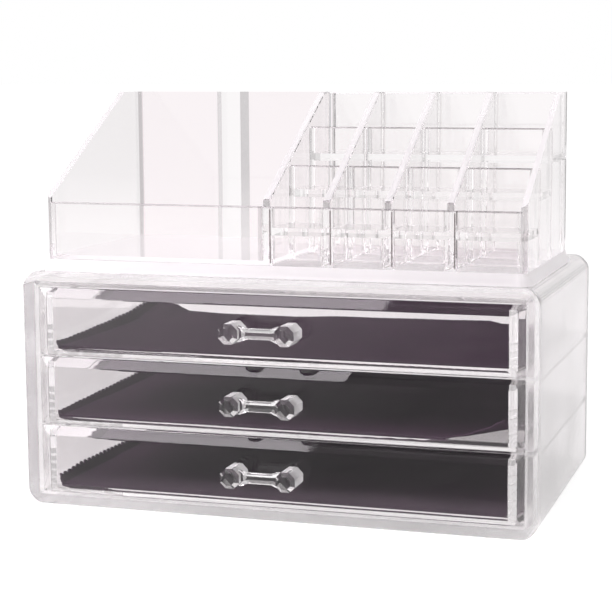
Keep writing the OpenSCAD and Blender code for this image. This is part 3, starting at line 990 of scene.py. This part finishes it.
def towards_backdrop(tree, vector):
    """1 where a direction or place is towards the paper behind the object, 0 where it isn't."""
    flat = tree.nodes.new("ShaderNodeVectorMath")
    flat.operation = "MULTIPLY"
    flat.inputs[1].default_value = (1, 1, 0)
    tree.links.new(vector, flat.inputs[0])
    unit = tree.nodes.new("ShaderNodeVectorMath")
    unit.operation = "NORMALIZE"
    tree.links.new(flat.outputs[0], unit.inputs[0])
    along_axis = tree.nodes.new("ShaderNodeVectorMath")
    along_axis.operation = "DOT_PRODUCT"
    along_axis.inputs[1].default_value = BACKDROP
    tree.links.new(unit.outputs[0], along_axis.inputs[0])
    return spread(tree, along_axis.outputs["Value"], *BACKDROP_EDGE, 0.0, 1.0)


def paper_tint(tree, path):
    """Warm white paper, and plain white where the camera sees it itself."""
    node = tree.nodes.new("ShaderNodeMix")
    node.data_type = "RGBA"
    node.inputs["A"].default_value = WARM_WHITE
    node.inputs["B"].default_value = WHITE
    tree.links.new(path.outputs["Is Camera Ray"], node.inputs["Factor"])
    return node.outputs["Result"]


floor = block("studio_floor", FLOOR_LOW, FLOOR_HIGH)
floor_finish = bpy.data.materials.new("white sweep")
floor_finish.use_nodes = True
tree = floor_finish.node_tree
tree.nodes.clear()
out = tree.nodes.new("ShaderNodeOutputMaterial")
add = tree.nodes.new("ShaderNodeAddShader")
matt = tree.nodes.new("ShaderNodeBsdfDiffuse")
glow = tree.nodes.new("ShaderNodeEmission")
path = tree.nodes.new("ShaderNodeLightPath")
place = tree.nodes.new("ShaderNodeTexCoord").outputs["Object"]
radius = tree.nodes.new("ShaderNodeVectorMath")
radius.operation = "LENGTH"
tree.links.new(place, radius.inputs[0])
swept = spread(tree, radius.outputs["Value"], *SWEEP, PAPER_LEVEL, FAR_FLOOR_LEVEL)
swept = chosen(tree, towards_backdrop(tree, place), swept, PAPER_LEVEL)
parts = tree.nodes.new("ShaderNodeSeparateXYZ")
tree.links.new(place, parts.inputs[0])
# what the drawer fronts mirror of the floor before them
lit_by_floor = spread(tree, path.outputs["Diffuse Depth"], 0.0, 1.0, 0.0, 1.0)
ahead = chosen(tree, lit_by_floor, spread(tree, parts.outputs["Y"], *AHEAD, 1.0, 0.0), 0.0)
ahead = chosen(tree, path.outputs["Is Camera Ray"], ahead, 0.0)
swept = chosen(tree, ahead, swept, spread(tree, parts.outputs["X"], *FLOOR_GLEAM))
swept = chosen(tree, path.outputs["Is Camera Ray"], swept, SEEN_FLOOR_LEVEL)
tree.links.new(chosen(tree, ahead, FLOOR_COLOUR, AHEAD_COLOUR), matt.inputs["Color"])
tree.links.new(swept, glow.inputs["Strength"])
tree.links.new(paper_tint(tree, path), glow.inputs["Color"])
tree.links.new(matt.outputs[0], add.inputs[0])
tree.links.new(glow.outputs[0], add.inputs[1])
tree.links.new(add.outputs[0], out.inputs["Surface"])
floor.data.materials.append(floor_finish)

world = bpy.data.worlds.new("studio")
bpy.context.scene.world = world
world.use_nodes = True
tree = world.node_tree
tree.nodes.clear()
out = tree.nodes.new("ShaderNodeOutputWorld")
path = tree.nodes.new("ShaderNodeLightPath")
direction = tree.nodes.new("ShaderNodeTexCoord").outputs["Generated"]
split = tree.nodes.new("ShaderNodeSeparateXYZ")
tree.links.new(direction, split.inputs[0])
behind = towards_backdrop(tree, direction)
paper = combined(tree, "MULTIPLY", behind, spread(tree, split.outputs["Z"], *PAPER_TOP, 1.0, 0.0))
overhead = spread(tree, split.outputs["Z"], *CEILING_EDGE, 0.0, 1.0)
seen = chosen(tree, overhead, chosen(tree, paper, ROOM_GREY, PAPER_BEHIND), CEILING_LEVEL)
mirrored = chosen(tree, overhead, chosen(tree, paper, MIRRORED_ROOM, MIRRORED_PAPER), CEILING_LEVEL)
strength = chosen(tree, path.outputs["Is Glossy Ray"], AMBIENT, mirrored)
strength = chosen(tree, path.outputs["Is Transmission Ray"], strength, seen)
strength = chosen(tree, path.outputs["Is Camera Ray"], strength, 1.0)
sky = tree.nodes.new("ShaderNodeBackground")
tree.links.new(strength, sky.inputs["Strength"])
tree.links.new(paper_tint(tree, path), sky.inputs["Color"])
tree.links.new(sky.outputs[0], out.inputs["Surface"])

softbox = bpy.data.lights.new("key softbox", "AREA")
softbox.shape = "RECTANGLE"
softbox.size = softbox.size_y = LAMP_SIZE
softbox.energy = LAMP_POWER
softbox.color = LAMP_TINT
lamp = bpy.data.objects.new("key softbox", softbox)
lamp.location = LAMP_PLACE
lamp.rotation_euler = (LAMP_TARGET - LAMP_PLACE).to_track_quat("-Z", "Y").to_euler()
bpy.context.scene.collection.objects.link(lamp)

# ---- camera: places in millimetres, the picture in pixels ----

AZIMUTH = math.radians(16.18)
ELEVATION = math.radians(7.03)
ROLL = math.radians(-0.12)
AIM = Vector((47.563, -68.0, 111.794))
DISTANCE = 690.66
IMAGE = 612
FOCAL = 1607.18
CENTRE = (373.42, 275.61)
SENSOR_WIDTH = 36  # of the camera's picture, in millimetres
FAR_END = 50  # in metres
BOUNCES = 40
GLOSSY_BOUNCES = 24

back = Vector((math.sin(AZIMUTH) * math.cos(ELEVATION), -math.cos(AZIMUTH) * math.cos(ELEVATION),
               math.sin(ELEVATION)))
right = Vector((math.cos(AZIMUTH), math.sin(AZIMUTH), 0))
up = back.cross(right)
rolled_right = right * math.cos(ROLL) + up * math.sin(ROLL)
rolled_up = up * math.cos(ROLL) - right * math.sin(ROLL)
lens = bpy.data.cameras.new("camera")
lens.sensor_width = SENSOR_WIDTH
lens.lens = FOCAL / IMAGE * SENSOR_WIDTH
lens.shift_x = (IMAGE / 2 - CENTRE[0]) / IMAGE
lens.shift_y = (CENTRE[1] - IMAGE / 2) / IMAGE
lens.clip_end = FAR_END
camera = bpy.data.objects.new("camera", lens)
bpy.context.scene.collection.objects.link(camera)
turn = Matrix((rolled_right, rolled_up, back)).transposed().to_4x4()
camera.matrix_world = Matrix.Translation((AIM + back * DISTANCE) * MM) @ turn
bpy.context.scene.camera = camera
bpy.context.scene.view_settings.view_transform = "Standard"
# light crosses many walls of clear plastic before it leaves
paths = bpy.context.scene.cycles
paths.max_bounces = BOUNCES
paths.transmission_bounces = BOUNCES
paths.transparent_max_bounces = BOUNCES
paths.glossy_bounces = GLOSSY_BOUNCES
